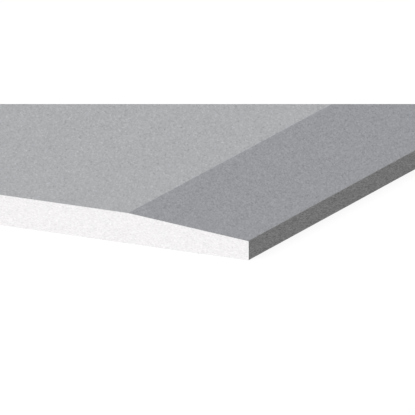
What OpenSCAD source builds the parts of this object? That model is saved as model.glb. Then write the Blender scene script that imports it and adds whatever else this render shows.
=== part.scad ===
// Drywall sheet: a paper-faced gypsum board with tapered long edges, lying flat
// with its face up. X runs across its width, Y along its length and Z up through
// its thickness. The origin is at the middle of its back face.

/* [Sheet] */
// Length, from one cut end to the other
sheet_length = 2400; // [1800:50:3600]
// Width, from one long edge to the other
sheet_width = 1200; // [600:10:1250]
// Thickness between the two faces, away from the tapers
sheet_thickness = 12.5; // [9.5:0.5:19]

/* [Tapered edges] */
// Width of the band along each long edge in which the face slopes down
taper_width = 53.5; // [30:0.5:80]
// Drop of the face across that band, from its crease to the long edge
taper_depth = 4.5; // [0.5:0.1:5]
// Radius at which the paper folds round the top and bottom of a long edge
fold_radius = 0.4; // [0.2:0.1:1.5]

/* [Hidden] */

// Grey of the paper
paper_grey = [0.68, 0.68, 0.69];
// Smoothness of the folds when they are drawn
fold_facets = 48;
// The slope ends this far inside the upper fold, so that the two always join
slope_dip = 0.001;

// Long edge and crease on the +X side, and the height at which the slope would
// meet that edge if it were sharp
edge_x = sheet_width / 2;
crease_x = edge_x - taper_width;
edge_height = sheet_thickness - taper_depth;

// Slope of the taper below the horizontal, and the direction square to it
taper_slope = atan2(taper_depth, taper_width);
slope_normal = [sin(taper_slope), cos(taper_slope)];

// Centres of the two folds of the +X edge. Both touch the edge; the lower one
// also touches the back face, and the upper one the slope
fold_x = edge_x - fold_radius;
lower_fold = [fold_x, fold_radius];
upper_fold = [fold_x, edge_height - fold_radius * (1 - sin(taper_slope)) / cos(taper_slope)];

// Outline of the +X half in section, with its two corners cut back to where the
// folds begin and end
right_half = [
    [fold_x, 0],
    [edge_x, lower_fold[1]],
    [edge_x, upper_fold[1]],
    upper_fold + (fold_radius - slope_dip) * slope_normal,
    [crease_x, sheet_thickness]
];

// The same points on the -X side, in the opposite order
left_half = [
    for (i = [len(right_half) - 1:-1:0])
        [-right_half[i][0], right_half[i][1]]
];

// Section across the width, standing on its back face
module section() {
    polygon(concat(right_half, left_half));
    for (side = [-1, 1], fold = [lower_fold, upper_fold])
        translate([side * fold[0], fold[1]])
            circle(r = fold_radius, $fn = fold_facets);
}

// The whole sheet: its section carried along its length, with square cut ends
module drywall_sheet() {
    color(paper_grey)
        rotate([90, 0, 0])
            linear_extrude(height = sheet_length, center = true)
                section();
}

drywall_sheet();
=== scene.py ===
"""Dresses a drywall sheet: board paper outside, a white gypsum core on its two cut ends.

The sheet lies face up on the floor, with X across its width, Y along its length and Z up.
Every size is in metres, and every colour is linear.
"""

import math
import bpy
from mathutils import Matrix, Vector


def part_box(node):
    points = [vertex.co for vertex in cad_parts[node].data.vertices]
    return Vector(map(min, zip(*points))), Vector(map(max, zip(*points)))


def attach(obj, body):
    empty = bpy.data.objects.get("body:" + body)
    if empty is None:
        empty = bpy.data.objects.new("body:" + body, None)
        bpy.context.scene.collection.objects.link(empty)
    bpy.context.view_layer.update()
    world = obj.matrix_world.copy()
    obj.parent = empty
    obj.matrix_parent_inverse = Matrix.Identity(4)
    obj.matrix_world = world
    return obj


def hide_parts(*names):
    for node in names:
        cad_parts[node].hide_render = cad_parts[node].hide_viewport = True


bl_info = {
    "name": "Drywall Sheet",
    "version": (1, 0, 0),
    "blender": (4, 5, 0),
    "location": "View3D > Sidebar > Drywall",
    "description": "Builds a tapered-edge drywall sheet and a plain studio round it",
    "category": "Object",
}

import bpy
from bpy.props import FloatProperty, FloatVectorProperty, IntProperty, PointerProperty
from mathutils import Vector, noise

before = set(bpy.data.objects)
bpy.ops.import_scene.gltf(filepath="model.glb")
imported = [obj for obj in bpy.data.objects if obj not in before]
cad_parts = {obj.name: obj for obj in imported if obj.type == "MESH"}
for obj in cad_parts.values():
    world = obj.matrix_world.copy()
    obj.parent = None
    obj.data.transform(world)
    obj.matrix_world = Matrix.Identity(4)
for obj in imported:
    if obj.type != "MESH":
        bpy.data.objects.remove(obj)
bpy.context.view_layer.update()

NODE = "drywall_sheet"
PIECE = "drywall_board"
BODY = "root"
MM = 0.001

# Numbers of the axes in a point
X, Y, Z = range(3)

# Points closer than this lie on the same face of the CAD solid
SAME_FACE = 0.01 * MM

# Smallest size that can be set for a grain, a fibre or the space between air holes
FINEST = 0.1 * MM


def farthest(axis, level_axis, level):
    """The farthest place along one axis of the CAD points that share a level of another axis."""
    points = [v.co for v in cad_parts[NODE].data.vertices]
    return max(p[axis] for p in points if abs(p[level_axis] - level) < SAME_FACE)


# Main lines of the section, read from the CAD solid
LOW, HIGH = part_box(NODE)
CREASE_X = farthest(X, Z, HIGH.z)
FOLD_X = farthest(X, Z, LOW.z)
UPPER_FOLD_Z = farthest(Z, X, HIGH.x)

# Kinds of surface, in the order of the board's material slots
SURFACES = ("face", "band", "edge", "core", "back")


class SheetSizes(bpy.types.PropertyGroup):
    """Sizes of the board"""

    length: FloatProperty(
        name="Length", description="From one cut end to the other",
        default=HIGH.y - LOW.y, min=0, unit="LENGTH")
    width: FloatProperty(
        name="Width", description="From one long edge to the other",
        default=HIGH.x - LOW.x, min=0, unit="LENGTH")
    thickness: FloatProperty(
        name="Thickness", description="Between the two faces, away from the tapers",
        default=HIGH.z - LOW.z, min=0, unit="LENGTH")
    taper_width: FloatProperty(
        name="Taper width", description="Width of the sloped band along each long edge",
        default=HIGH.x - CREASE_X, min=0, unit="LENGTH")
    fold_radius: FloatProperty(
        name="Fold radius", description="Radius of the paper's fold at a long edge",
        default=HIGH.x - FOLD_X, min=0, unit="LENGTH")
    fold_height: FloatProperty(
        name="Fold height", description="Height at which a long edge turns over into its band",
        default=UPPER_FOLD_Z - LOW.z, min=0, unit="LENGTH")
    lap_width: FloatProperty(
        name="Lap width", description="How far the face paper shows on the back of a long edge",
        default=22 * MM, min=0, unit="LENGTH")
    lap_step: FloatProperty(
        name="Lap step", description="Thickness of the back paper where it ends on the lap",
        default=0.1 * MM, min=0, unit="LENGTH")
    cut_depth: FloatProperty(
        name="Cut depth", description="How deep the sawn core lies behind its rim at most",
        default=0.08 * MM, min=0, unit="LENGTH")
    cut_grain: FloatProperty(
        name="Cut grain", description="Size of the unevenness of the sawn core",
        default=5 * MM, min=MM, unit="LENGTH")


class SheetSteps(bpy.types.PropertyGroup):
    """How finely the board is divided"""

    column: FloatProperty(
        name="Column", description="Widest step across the width",
        default=1.5 * MM, min=0.5 * MM, unit="LENGTH")
    rows: IntProperty(
        name="Rows", description="Steps through the thickness", default=8, min=2)
    bays: IntProperty(
        name="Bays", description="Steps along the length", default=10, min=1)
    fold_steps: IntProperty(
        name="Fold steps", description="Steps in one fold", default=6, min=2)


class SheetColours(bpy.types.PropertyGroup):
    """Colours of the board"""

    face: FloatVectorProperty(
        name="Face", description="Paper of the flat face",
        default=(0.409, 0.413, 0.426), min=0, max=1, subtype="COLOR")
    # The bands are the face paper itself: their darker colour is painted shade of the taper's slope, and
    # the laps on the back take the same colour
    band: FloatVectorProperty(
        name="Band", description="Pressed paper of the tapered bands and the laps",
        default=(0.309, 0.313, 0.331), min=0, max=1, subtype="COLOR")
    # The long edges are the face paper folded round: their darker colour is painted shade of a shaded
    # side, on top of the real shade that the lamp gives the +X edge
    edge: FloatVectorProperty(
        name="Edge", description="Folded paper of the long edges",
        default=(0.227, 0.227, 0.227), min=0, max=1, subtype="COLOR")
    core: FloatVectorProperty(
        name="Core", description="Gypsum on the cut ends",
        default=(0.90, 0.885, 0.893), min=0, max=1, subtype="COLOR")
    back: FloatVectorProperty(
        name="Back", description="Paper of the back face",
        default=(0.300, 0.285, 0.262), min=0, max=1, subtype="COLOR")


class SheetPaper(bpy.types.PropertyGroup):
    """Grain of the paper"""

    grain_width: FloatProperty(
        name="Grain width", description="Width of one grain of the paper",
        default=0.58 * MM, min=FINEST, unit="LENGTH")
    grain_length: FloatProperty(
        name="Grain length", description="Length of one grain of the paper",
        default=1.7 * MM, min=FINEST, unit="LENGTH")
    grain_slant: FloatProperty(
        name="Grain slant", description="How far the grain lies off the length of the sheet",
        default=math.radians(-27), subtype="ANGLE", unit="ROTATION")
    face_contrast: FloatProperty(
        name="Face contrast", description="Strength of the grain on the face, the bands and the laps",
        default=0.425, min=0, max=2, subtype="FACTOR")
    edge_length: FloatProperty(
        name="Edge grain length", description="Length of one grain on the long edges",
        default=1.35 * MM, min=FINEST, unit="LENGTH")
    edge_height: FloatProperty(
        name="Edge grain height", description="Height of one grain on the long edges",
        default=0.2 * MM, min=FINEST, unit="LENGTH")
    edge_slant: FloatProperty(
        name="Edge grain slant", description="How far the grain on the long edges lies off their length",
        default=math.radians(14), subtype="ANGLE", unit="ROTATION")
    edge_contrast: FloatProperty(
        name="Edge contrast", description="Strength of the grain on the long edges",
        default=1.08, min=0, max=2, subtype="FACTOR")
    back_contrast: FloatProperty(
        name="Back contrast", description="Strength of the grain on the back",
        default=0.5, min=0, max=2, subtype="FACTOR")
    speck: FloatProperty(
        name="Speck", description="How far the lightest and darkest grains stand out from the rest",
        default=5.0, min=0)
    tooth: FloatProperty(
        name="Tooth", description="Depth of the grain as relief",
        default=0.02 * MM, min=0, unit="LENGTH")
    fibre_width: FloatProperty(
        name="Fibre width", description="Width of the fibres in the paper",
        default=0.5 * MM, min=FINEST, unit="LENGTH")
    fibre_length: FloatProperty(
        name="Fibre length", description="Length of the fibres in the paper",
        default=6 * MM, min=FINEST, unit="LENGTH")
    fibre_contrast: FloatProperty(
        name="Fibre contrast", description="How much darker than the paper its fibres are",
        default=0.06, min=0, max=1, subtype="FACTOR")


class SheetGypsum(bpy.types.PropertyGroup):
    """Grain of the gypsum core"""

    chalk_width: FloatProperty(
        name="Chalk width", description="Width of one grain of the gypsum, across the sheet",
        default=0.8 * MM, min=FINEST, unit="LENGTH")
    chalk_height: FloatProperty(
        name="Chalk height", description="Height of one grain of the gypsum",
        default=0.42 * MM, min=FINEST, unit="LENGTH")
    chalk_contrast: FloatProperty(
        name="Chalk contrast", description="Strength of the grain of the gypsum",
        default=0.238, min=0, max=2, subtype="FACTOR")
    speck: FloatProperty(
        name="Speck", description="How far the lightest and darkest grains stand out from the rest",
        default=5.0, min=0)
    tooth: FloatProperty(
        name="Tooth", description="Depth of the grain as relief",
        default=0.02 * MM, min=0, unit="LENGTH")
    pore_spacing: FloatProperty(
        name="Pore spacing", description="Usual distance between air holes in the gypsum",
        default=2.5 * MM, min=FINEST, unit="LENGTH")
    pore_radius: FloatProperty(
        name="Pore radius", description="Radius of an air hole",
        default=0.35 * MM, min=0, unit="LENGTH")
    # The air holes' darker colour is painted shade inside them
    pore_painted_shade: FloatProperty(
        name="Pore contrast", description="How much darker than the gypsum its air holes are",
        default=0.06, min=0, max=1, subtype="FACTOR")


class StageSettings(bpy.types.PropertyGroup):
    """Floor, light and camera"""

    floor_size: FloatProperty(
        name="Floor size", description="Side of the square floor",
        default=16, min=1, unit="LENGTH")
    floor_shadow: FloatProperty(
        name="Floor shadow", description="How far the sheet's shadow darkens the floor",
        default=0.16, min=0, max=1, subtype="FACTOR")
    fill: FloatProperty(
        name="Fill", description="Light from all round, as a share of full light",
        default=0.70, min=0, max=1, subtype="FACTOR")
    key: FloatProperty(
        name="Key", description="Light from the lamp, as a share of full light",
        default=0.477, min=0, max=1, subtype="FACTOR")
    key_azimuth: FloatProperty(
        name="Key azimuth", description="Side that the lamp stands on, from the front to the right",
        default=math.radians(-33), subtype="ANGLE", unit="ROTATION")
    key_elevation: FloatProperty(
        name="Key elevation", description="Height of the lamp above the floor",
        default=math.radians(39), subtype="ANGLE", unit="ROTATION")
    key_softness: FloatProperty(
        name="Key softness", description="Angle that the lamp fills, seen from the sheet",
        default=math.radians(40), subtype="ANGLE", unit="ROTATION")
    camera_azimuth: FloatProperty(
        name="Camera azimuth", description="Side that the camera stands on, from the front to the right",
        default=math.radians(27.19), subtype="ANGLE", unit="ROTATION")
    camera_elevation: FloatProperty(
        name="Camera elevation", description="Height of the camera above the floor",
        default=math.radians(16.075), subtype="ANGLE", unit="ROTATION")
    camera_distance: FloatProperty(
        name="Camera distance", description="From the camera to the point that it looks at",
        default=7.751, min=0, unit="LENGTH")
    camera_lens: FloatProperty(
        name="Lens", description="Focal length in millimetres, long for a nearly parallel view",
        default=1700, min=1, unit="CAMERA")
    aim_from_edge: FloatProperty(
        name="Aim from edge", description="Point looked at on the face, in from the right long edge",
        default=29.25 * MM, unit="LENGTH")
    aim_from_end: FloatProperty(
        name="Aim from end", description="Point looked at on the face, in from the near cut end",
        default=21.42 * MM, unit="LENGTH")
    card_distance: FloatProperty(
        name="Card distance", description="From the lens to the white card that closes the picture's top",
        default=300 * MM, min=0, unit="LENGTH")


# Share of a step by which rounding may lengthen a stretch without adding a step to it
ROUNDING = 1e-6

# Finer unevenness of the sawn core beside the coarse one: its strength, and how many times finer it is
FINE_STRENGTH = 0.5
FINE_SCALE = 2.3

# Edges at which the mesh turns by more than this stay sharp
SHARP_TURN = math.radians(30)


def steps_between(start, end, widest):
    """Even places from start to end, no farther apart than the widest step."""
    count = max(1, math.ceil(abs(end - start) / widest - ROUNDING))
    return [start + (end - start) * i / count for i in range(count + 1)]


def taper_slope(sizes):
    """Angle of the band below the horizontal: it runs from the crease and touches the upper fold."""
    across = sizes.taper_width - sizes.fold_radius
    up = sizes.thickness - sizes.fold_height
    return math.acos(sizes.fold_radius / math.hypot(across, up)) - math.atan2(across, up)


def flat_columns(sizes, steps):
    """(back point, face point) pairs in the section, from the middle of the board to the +X edge's folds.

    A point is (across, height, surface): the surface names what lies between it and the next one.
    """
    edge = sizes.width / 2
    crease = edge - sizes.taper_width
    lap = edge - sizes.lap_width
    fold = edge - sizes.fold_radius
    fall = math.tan(taper_slope(sizes))
    columns = []
    for x in steps_between(0, crease, steps.column)[:-1]:
        columns.append(((x, 0, "back"), (x, sizes.thickness, "face")))
    for x in steps_between(crease, lap, steps.column):
        columns.append(((x, 0, "back"), (x, sizes.thickness - (x - crease) * fall, "band")))
    for x in steps_between(lap + sizes.lap_step, fold, steps.column)[:-1]:
        columns.append(((x, sizes.lap_step, "band"), (x, sizes.thickness - (x - crease) * fall, "band")))
    return columns


def fold_columns(sizes, steps):
    """The pairs that follow, through the lower and the upper fold of the +X edge."""
    fold = sizes.width / 2 - sizes.fold_radius
    slope = taper_slope(sizes)
    columns = []
    for i in range(steps.fold_steps + 1):
        share = i / steps.fold_steps
        low_turn = share * math.pi / 2
        high_turn = slope + share * (math.pi / 2 - slope)
        back = (
            fold + sizes.fold_radius * math.sin(low_turn),
            sizes.lap_step + sizes.fold_radius * (1 - math.cos(low_turn)),
            "edge",
        )
        face = (
            fold + sizes.fold_radius * math.sin(high_turn),
            sizes.fold_height + sizes.fold_radius * math.cos(high_turn),
            "edge",
        )
        columns.append((back, face))
    return columns


def all_columns(sizes, steps):
    """The columns of the whole section, from -X to +X: the -X half mirrors the +X half."""
    right = flat_columns(sizes, steps) + fold_columns(sizes, steps)
    left = []
    for i in range(len(right) - 1, 0, -1):
        # Turned round, what lay after a column lies before it, so it takes the one before
        pair = [(-x, z) for x, z, _ in right[i]]
        between = [surface for _, _, surface in right[i - 1]]
        left.append(tuple((x, z, s) for (x, z), s in zip(pair, between)))
    return left + right


def cut_relief(x, z, sizes, side):
    """How far the sawn core lies behind its rim at a point of a cut end."""
    place = Vector((x, z, side)) / sizes.cut_grain
    uneven = noise.noise(place) + FINE_STRENGTH * noise.noise(FINE_SCALE * place)
    return sizes.cut_depth * min(1, max(0, (1 + uneven) / 2))


def end_points(columns, sizes, steps, side):
    """Grid of points over one cut end; side is -1 for the near end and 1 for the far one."""
    y = side * sizes.length / 2
    points = []
    for i, ((back_x, back_z, _), (face_x, face_z, _)) in enumerate(columns):
        for j in range(steps.rows + 1):
            share = j / steps.rows
            x = back_x + (face_x - back_x) * share
            z = back_z + (face_z - back_z) * share
            on_rim = i in (0, len(columns) - 1) or j in (0, steps.rows)
            depth = 0 if on_rim else cut_relief(x, z, sizes, side)
            points.append((x, y - side * depth, z))
    return points


def rim_of_grid(columns, rows):
    """Numbers of a grid's rim points, once round from its lower -X corner, and the surface after each."""
    below = [surface for (_, _, surface), _ in columns]
    above = [surface for _, (_, _, surface) in columns]
    last = len(columns) - 1
    high = rows + 1
    rim = [(i * high, below[i]) for i in range(last)]
    rim += [(last * high + j, "edge") for j in range(rows)]
    rim += [(i * high + rows, above[i - 1]) for i in range(last, 0, -1)]
    rim += [(j, "edge") for j in range(rows, 0, -1)]
    return [number for number, _ in rim], [surface for _, surface in rim]


def end_faces(columns, rows, start, side):
    """Squares over one cut end, facing out of the board."""
    faces = []
    high = rows + 1
    for i in range(len(columns) - 1):
        for j in range(rows):
            a = start + i * high + j
            square = (a, a + high, a + high + 1, a + 1)
            faces.append(square if side < 0 else square[::-1])
    return faces


def board_mesh(sizes, steps):
    """Points, faces and each face's surface of the whole closed board."""
    columns = all_columns(sizes, steps)
    grid_rim, surfaces = rim_of_grid(columns, steps.rows)
    near = end_points(columns, sizes, steps, -1)
    far = end_points(columns, sizes, steps, 1)
    points = near + far
    faces = end_faces(columns, steps.rows, 0, -1) + end_faces(columns, steps.rows, len(near), 1)
    kinds = ["core"] * len(faces)
    rims = [grid_rim]
    for bay in range(1, steps.bays):
        y = sizes.length * (bay / steps.bays - 0.5)
        rims.append(range(len(points), len(points) + len(grid_rim)))
        points += [(near[n][X], y, near[n][Z]) for n in grid_rim]
    rims.append([len(near) + n for n in grid_rim])
    for this, after in zip(rims, rims[1:]):
        for k, surface in enumerate(surfaces):
            follow = (k + 1) % len(surfaces)
            faces.append((this[k], after[k], after[follow], this[follow]))
            kinds.append(surface)
    return points, faces, kinds


def mark_creases(mesh, sizes):
    """Smooths the folds and the sawn core, and keeps the creases and the rims sharp."""
    crease = sizes.width / 2 - sizes.taper_width
    mesh.shade_smooth()
    mesh.set_sharp_from_angle(angle=SHARP_TURN)
    sharp = mesh.attributes["sharp_edge"].data
    for edge in mesh.edges:
        ends = [mesh.vertices[v].co for v in edge.vertices]
        if all(abs(abs(p.x) - crease) < SAME_FACE and p.z > sizes.thickness - SAME_FACE for p in ends):
            sharp[edge.index].value = True


# The board's six sides, each as the axis that it looks along and which way: the two faces, then the long
# edges and the cut ends. In this order they stand from left to right on the square map that the finishes
# are baked through, each at the map's full height
BAKE_MAP = "OFBake"
BAKE_FACES = ((Z, 1), (Z, -1))
BAKE_STRIPS = ((X, 1), (X, -1), (Y, 1), (Y, -1))

# Width on that map of the gap round each side, and of a long edge or cut end; the faces share the rest
BAKE_GAP = 0.005
BAKE_STRIP = 0.013


def side_places():
    """Where each side begins on the bake map, and how wide it is there."""
    gaps = len(BAKE_FACES) + len(BAKE_STRIPS) + 1
    face = (1 - gaps * BAKE_GAP - len(BAKE_STRIPS) * BAKE_STRIP) / len(BAKE_FACES)
    places = {}
    start = BAKE_GAP
    for side in BAKE_FACES + BAKE_STRIPS:
        width = face if side in BAKE_FACES else BAKE_STRIP
        places[side] = (start, width)
        start += width + BAKE_GAP
    return places


def lay_out_map(mesh, sizes):
    """Gives every face its place on the bake map, by the side of the board that it lies on."""
    places = side_places()
    layer = mesh.uv_layers.new(name=BAKE_MAP)
    size = Vector((sizes.width, sizes.length, sizes.thickness))
    low = Vector((-sizes.width / 2, -sizes.length / 2, 0))
    for polygon in mesh.polygons:
        axis = max((X, Y, Z), key=lambda i: abs(polygon.normal[i]))
        start, width = places[axis, 1 if polygon.normal[axis] > 0 else -1]
        across = X if axis == Z else Z
        along = X if axis == Y else Y
        for corner in polygon.loop_indices:
            point = mesh.vertices[mesh.loops[corner].vertex_index].co - low
            u = start + width * point[across] / size[across]
            v = BAKE_GAP + (1 - 2 * BAKE_GAP) * point[along] / size[along]
            layer.uv[corner].vector = (u, v)


def new_tree(name):
    """A fresh material with only its output and a Principled shader."""
    material = bpy.data.materials.new(name)
    material.use_nodes = True
    tree = material.node_tree
    shader = tree.nodes["Principled BSDF"]
    return material, tree, shader


def add_node(tree, kind, inputs=None, **settings):
    """Adds a node with these settings; inputs maps a socket's name or number to a value or a socket."""
    made = tree.nodes.new(kind)
    for name, value in settings.items():
        setattr(made, name, value)
    for socket, value in (inputs or {}).items():
        if isinstance(value, bpy.types.NodeSocket):
            tree.links.new(value, made.inputs[socket])
        else:
            made.inputs[socket].default_value = value
    return made


def calculate(tree, operation, *amounts):
    """Result of one step of arithmetic on amounts, each of them a number or a socket."""
    return add_node(tree, "ShaderNodeMath", dict(enumerate(amounts)), operation=operation).outputs[0]


# Middle of a noise's values
MIDDLE = 0.5

# Fourth coordinate of every noise: it keeps the flat sides off the noise's own grid, where it fades
NOISE_LAYER = 0.5

# Share of an air hole's radius within which it is fully dark
PORE_FLOOR = 0.5

# How far paper and gypsum shine, as a level of the shader
SHINE = 0.15

# Roughness from the lowest grains to the highest
PAPER_ROUGHNESS = (0.94, 0.80)
GYPSUM_ROUGHNESS = (1.0, 0.9)

# Faint clouds, lengthwise streaks and broad patches in the paper: the size of each along X, Y and Z, how
# much finer detail it has, and its contrast
FAINT_LAYERS = (
    ((12 * MM, 18 * MM, 12 * MM), 0.0, 0.02),
    ((15 * MM, 3000 * MM, 15 * MM), 0.0, 0.02),
    ((250 * MM, 400 * MM, 250 * MM), 2.0, 0.06),
)

# Ways that the fibres lie, and the part of their noise that shows as a fleck
FIBRE_TURNS = (math.radians(-40), math.radians(5), math.radians(55))
FLECK_START, FLECK_FULL = 0.70, 0.78


def sheet_place(tree, turn=0.0, about="Z_AXIS"):
    """Places on the sheet in metres, with the axes turned this far about one of them."""
    place = add_node(tree, "ShaderNodeTexCoord").outputs["Object"]
    if turn:
        turned = add_node(
            tree, "ShaderNodeVectorRotate", {"Vector": place, "Angle": turn}, rotation_type=about)
        place = turned.outputs[0]
    return place


def scaled(tree, place, sizes):
    """Coordinates in which one unit is this much along X, Y and Z."""
    return add_node(
        tree, "ShaderNodeVectorMath",
        {0: place, 1: tuple(1 / size for size in sizes)}, operation="MULTIPLY").outputs[0]


def speckle(tree, place, sizes, detail=0.0):
    """Noise from 0 to 1 whose spots measure about this much along X, Y and Z."""
    inputs = {"Vector": scaled(tree, place, sizes), "W": NOISE_LAYER, "Scale": 1.0, "Detail": detail}
    return add_node(tree, "ShaderNodeTexNoise", inputs, noise_dimensions="4D").outputs["Fac"]


def ramp(tree, amount, start, end, low=0.0, high=1.0):
    """Low where an amount is at or before start, high at or past end, and even between them."""
    inputs = {"Value": amount, "From Min": start, "From Max": end, "To Min": low, "To Max": high}
    return add_node(tree, "ShaderNodeMapRange", inputs).outputs["Result"]


def stand_out(tree, amount, by):
    """A noise with its highest and lowest values drawn farther out from its middle."""
    off = calculate(tree, "SUBTRACT", amount, MIDDLE)
    stretch = calculate(tree, "MULTIPLY_ADD", calculate(tree, "MULTIPLY", off, off), by, 1.0)
    return calculate(tree, "MULTIPLY_ADD", off, stretch, MIDDLE)


def pores(tree, place, spacing, radius):
    """Small round air holes of the core: 1 in a hole and 0 elsewhere."""
    cells = add_node(
        tree, "ShaderNodeTexVoronoi", {"Vector": scaled(tree, place, (spacing,) * 3), "Scale": 1.0})
    rim = radius / spacing
    return ramp(tree, cells.outputs["Distance"], rim, PORE_FLOOR * rim)


def shade_of(tree, layers):
    """Sum of layers about 1, each an (amount, contrast, usual amount) triple."""
    total = 1 - sum(contrast * usual for _, contrast, usual in layers)
    for amount, contrast, _ in layers:
        total = calculate(tree, "MULTIPLY_ADD", amount, contrast, total)
    return total


def finish_shader(tree, shader, colour, shade, relief, depth, roughness):
    """Joins the shaded colour, the relief and the roughness to the shader."""
    tint = add_node(tree, "ShaderNodeVectorMath", {0: colour, "Scale": shade}, operation="SCALE")
    bump = add_node(tree, "ShaderNodeBump", {"Height": relief, "Distance": depth, "Strength": 1.0})
    tree.links.new(tint.outputs[0], shader.inputs["Base Color"])
    tree.links.new(bump.outputs["Normal"], shader.inputs["Normal"])
    tree.links.new(roughness, shader.inputs["Roughness"])
    shader.inputs["Specular IOR Level"].default_value = SHINE


def face_grain(tree, paper):
    """Grain of the paper on the face, the bands, the laps and the back."""
    sizes = (paper.grain_width, paper.grain_length, paper.grain_width)
    return speckle(tree, sheet_place(tree, paper.grain_slant), sizes)


def edge_grain(tree, paper):
    """Grain of the paper on the long edges."""
    sizes = (paper.edge_height, paper.edge_length, paper.edge_height)
    return speckle(tree, sheet_place(tree, paper.edge_slant, "X_AXIS"), sizes)


def paper_material(name, colour, paper, contrast, grain_of=face_grain):
    """Board paper: fine drawn-out grain, faint clouds, streaks and patches, and a few fibres."""
    material, tree, shader = new_tree(name)
    place = sheet_place(tree)
    grain = grain_of(tree, paper)
    layers = [(stand_out(tree, grain, paper.speck), contrast, MIDDLE)]
    for sizes, detail, strength in FAINT_LAYERS:
        layers.append((speckle(tree, place, sizes, detail), strength, MIDDLE))
    fleck = (paper.fibre_width, paper.fibre_length, paper.fibre_width)
    for turn in FIBRE_TURNS:
        lines = speckle(tree, sheet_place(tree, turn), fleck)
        layers.append((ramp(tree, lines, FLECK_START, FLECK_FULL), -paper.fibre_contrast, 0.0))
    roughness = ramp(tree, grain, 0, 1, *PAPER_ROUGHNESS)
    finish_shader(tree, shader, tuple(colour), shade_of(tree, layers), grain, paper.tooth, roughness)
    return material


def gypsum_material(name, colour, gypsum):
    """Sawn gypsum: chalky grain with small air holes."""
    material, tree, shader = new_tree(name)
    place = sheet_place(tree)
    grain = speckle(tree, place, (gypsum.chalk_width, gypsum.chalk_height, gypsum.chalk_height))
    holes = pores(tree, place, gypsum.pore_spacing, gypsum.pore_radius)
    specks = stand_out(tree, grain, gypsum.speck)
    # The air holes are painted darker as shade inside them, and also sink in as real relief through the
    # bump
    shade = shade_of(tree, [(specks, gypsum.chalk_contrast, MIDDLE), (holes, -gypsum.pore_painted_shade, 0.0)])
    relief = calculate(tree, "SUBTRACT", grain, holes)
    roughness = ramp(tree, grain, 0, 1, *GYPSUM_ROUGHNESS)
    finish_shader(tree, shader, tuple(colour), shade, relief, gypsum.tooth, roughness)
    return material


def board_materials(colours, paper, gypsum):
    """One finish for each kind of surface, in the order of SURFACES."""
    made = {
        "face": paper_material("face_paper", colours.face, paper, paper.face_contrast),
        # Band finish: the face paper in a darker colour that is painted shade of the tapers
        "band": paper_material("band_paper_painted_shade", colours.band, paper, paper.face_contrast),
        # Edge finish: the face paper in a darker colour that is painted shade of the long edges
        "edge": paper_material("edge_paper_painted_shade", colours.edge, paper, paper.edge_contrast, edge_grain),
        "core": gypsum_material("gypsum_core", colours.core, gypsum),
        "back": paper_material("back_paper", colours.back, paper, paper.back_contrast),
    }
    return [made[surface] for surface in SURFACES]


class DRYWALL_OT_board(bpy.types.Operator):
    """Build the board in place of the CAD sheet"""

    bl_idname = "drywall.make_board"
    bl_label = "Make Board"

    def execute(self, context):
        scene = context.scene
        sizes = scene.drywall_sizes
        points, faces, kinds = board_mesh(sizes, scene.drywall_steps)
        mesh = bpy.data.meshes.new(PIECE)
        mesh.from_pydata(points, [], faces)
        if mesh.validate():
            raise ValueError("the board's mesh has faults")
        for material in board_materials(scene.drywall_colours, scene.drywall_paper, scene.drywall_gypsum):
            mesh.materials.append(material)
        mesh.polygons.foreach_set("material_index", [SURFACES.index(kind) for kind in kinds])
        mark_creases(mesh, sizes)
        lay_out_map(mesh, sizes)
        board = bpy.data.objects.new(PIECE, mesh)
        scene.collection.objects.link(board)
        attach(board, BODY)
        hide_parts(NODE)
        return {"FINISHED"}


# Strength at which the floor, the card and the background show as white
WHITE = 1.03

# Share of its side by which the floor stands to the right, so that no diagonal of it is under the sheet
FLOOR_ASIDE = 0.25

# Height of the picture in pixels, and the row at which the sheet's picture begins
PICTURE_ROWS = 415
TOP_ROW = 104

# How far the card reaches from the picture's middle, where the picture's own edge is at 1
CARD_REACH = 1.2


def direction(azimuth, elevation):
    """Unit vector from the sheet towards something at this azimuth, from the front, and elevation."""
    level = math.cos(elevation)
    return Vector((math.sin(azimuth) * level, -math.cos(azimuth) * level, math.sin(elevation)))


def seen_directly(tree):
    """1 for rays that show the background itself: from the camera, or by gloss or glass."""
    rays = add_node(tree, "ShaderNodeLightPath").outputs
    gloss = calculate(tree, "MAXIMUM", rays["Is Glossy Ray"], rays["Is Transmission Ray"])
    return calculate(tree, "MAXIMUM", rays["Is Camera Ray"], gloss)


def set_world(scene, fill):
    """White background that lights the sheet evenly at the fill level."""
    world = bpy.data.worlds.new("studio")
    world.use_nodes = True
    tree = world.node_tree
    background = tree.nodes["Background"]
    background.inputs["Color"].default_value = (1, 1, 1, 1)
    tree.links.new(ramp(tree, seen_directly(tree), 0, 1, fill, WHITE), background.inputs["Strength"])
    scene.world = world


def stage_tree(name):
    """A fresh material with only its output, and the socket there that its surface goes to."""
    material, tree, shader = new_tree(name)
    tree.nodes.remove(shader)
    return material, tree, tree.nodes["Material Output"].inputs["Surface"]


def glow(tree, strength):
    """Plain white that shines by itself."""
    return add_node(tree, "ShaderNodeEmission", {"Color": (1, 1, 1, 1), "Strength": strength}).outputs[0]


def mixed(tree, first, second, share):
    """One surface that passes into another as the share goes from 0 to 1."""
    return add_node(tree, "ShaderNodeMixShader", {0: share, 1: first, 2: second}).outputs[0]


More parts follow.
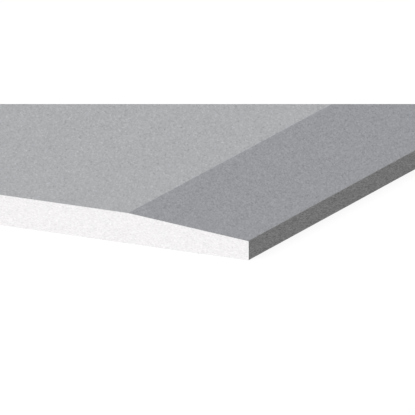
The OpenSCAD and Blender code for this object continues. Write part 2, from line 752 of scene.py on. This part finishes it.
def floor_material(stage):
    """Floor that shows white with a pale shadow, and lights the sheet as evenly as the world does.

    From below it can be seen through.
    """
    material, tree, surface = stage_tree("floor")
    shadow = stage.floor_shadow
    light = stage.fill + stage.key * math.sin(stage.key_elevation)
    shaded = add_node(tree, "ShaderNodeBsdfDiffuse", {"Color": (shadow, shadow, shadow, 1)}).outputs[0]
    bounce = glow(tree, stage.fill)
    # In full light, what the floor reflects and its own glow make white together
    rest = glow(tree, WHITE - shadow * light)
    shown = add_node(tree, "ShaderNodeAddShader", {0: shaded, 1: rest}).outputs[0]
    above = mixed(tree, bounce, shown, seen_directly(tree))
    below = add_node(tree, "ShaderNodeBsdfTransparent").outputs[0]
    under = add_node(tree, "ShaderNodeNewGeometry").outputs["Backfacing"]
    tree.links.new(mixed(tree, above, below, under), surface)
    return material


def card_material():
    """Plain white, as bright as the background."""
    material, tree, surface = stage_tree("card")
    tree.links.new(glow(tree, WHITE), surface)
    return material


def stage_square(scene, name, corners, material):
    """Flat four-cornered piece of the stage."""
    mesh = bpy.data.meshes.new(name)
    mesh.from_pydata(corners, [], [(0, 1, 2, 3)])
    mesh.materials.append(material)
    square = bpy.data.objects.new(name, mesh)
    scene.collection.objects.link(square)
    return square


def make_floor(scene, stage):
    """Square floor just under the sheet."""
    half = stage.floor_size / 2
    left = FLOOR_ASIDE * stage.floor_size - half
    right = left + stage.floor_size
    z = LOW.z - SAME_FACE
    corners = [(left, -half, z), (right, -half, z), (right, half, z), (left, half, z)]
    stage_square(scene, "floor", corners, floor_material(stage))


def make_key(scene, stage):
    """Broad soft lamp from the front left."""
    lamp = bpy.data.lights.new("key", "SUN")
    # A sun of strength pi gives full light to what faces it
    lamp.energy = stage.key * math.pi
    lamp.angle = stage.key_softness
    key = bpy.data.objects.new("key", lamp)
    towards = direction(stage.key_azimuth, stage.key_elevation)
    key.rotation_euler = towards.to_track_quat("Z", "Y").to_euler()
    scene.collection.objects.link(key)


def make_camera(scene, stage):
    """Long-lens camera above the sheet's near right corner."""
    back = direction(stage.camera_azimuth, stage.camera_elevation)
    aim = Vector((HIGH.x - stage.aim_from_edge, LOW.y + stage.aim_from_end, HIGH.z))
    lens = bpy.data.cameras.new("camera")
    lens.lens = stage.camera_lens
    camera = bpy.data.objects.new("camera", lens)
    camera.location = aim + back * stage.camera_distance
    camera.rotation_euler = back.to_track_quat("Z", "Y").to_euler()
    scene.collection.objects.link(camera)
    scene.camera = camera
    return camera


def make_card(scene, stage, camera):
    """Small white card close to the lens: the sheet's picture begins at its lower edge."""
    half = stage.card_distance * camera.data.sensor_width / 2 / stage.camera_lens
    low = half * (1 - 2 * TOP_ROW / PICTURE_ROWS)
    far = CARD_REACH * half
    bpy.context.view_layer.update()
    corners = [
        camera.matrix_world @ Vector((x, y, -stage.card_distance))
        for x, y in ((-far, low), (far, low), (far, far), (-far, far))
    ]
    card = stage_square(scene, "card", corners, card_material())
    card.visible_diffuse = False
    card.visible_glossy = False
    card.visible_shadow = False


class DRYWALL_OT_stage(bpy.types.Operator):
    """Set the floor, the light and the camera"""

    bl_idname = "drywall.make_stage"
    bl_label = "Make Stage"

    def execute(self, context):
        scene = context.scene
        stage = scene.drywall_stage
        scene.view_settings.view_transform = "Standard"
        set_world(scene, stage.fill)
        make_floor(scene, stage)
        make_key(scene, stage)
        camera = make_camera(scene, stage)
        make_card(scene, stage, camera)
        return {"FINISHED"}


class DRYWALL_PT_panel(bpy.types.Panel):
    """Lists the sheet's settings and what can be made from them"""

    bl_idname = "DRYWALL_PT_panel"
    bl_label = "Drywall Sheet"
    bl_space_type = "VIEW_3D"
    bl_region_type = "UI"
    bl_category = "Drywall"

    def draw(self, context):
        for group in GROUPS:
            box = self.layout.box()
            settings = getattr(context.scene, group)
            for name in GROUPS[group].__annotations__:
                box.prop(settings, name)
        self.layout.operator(DRYWALL_OT_board.bl_idname)
        self.layout.operator(DRYWALL_OT_stage.bl_idname)


# Groups of settings by their names in the scene, and all the classes to register
GROUPS = {
    "drywall_sizes": SheetSizes,
    "drywall_steps": SheetSteps,
    "drywall_colours": SheetColours,
    "drywall_paper": SheetPaper,
    "drywall_gypsum": SheetGypsum,
    "drywall_stage": StageSettings,
}
CLASSES = (*GROUPS.values(), DRYWALL_OT_board, DRYWALL_OT_stage, DRYWALL_PT_panel)


def register():
    """Adds the classes, and their settings to every scene."""
    for cls in CLASSES:
        bpy.utils.register_class(cls)
    for name, group in GROUPS.items():
        setattr(bpy.types.Scene, name, PointerProperty(type=group))


def unregister():
    """Takes away what register added."""
    for name in GROUPS:
        delattr(bpy.types.Scene, name)
    for cls in reversed(CLASSES):
        bpy.utils.unregister_class(cls)


def main():
    """Makes the board and its stage, in that order."""
    register()
    bpy.ops.drywall.make_board()
    bpy.ops.drywall.make_stage()


if __name__ == "__main__":
    main()
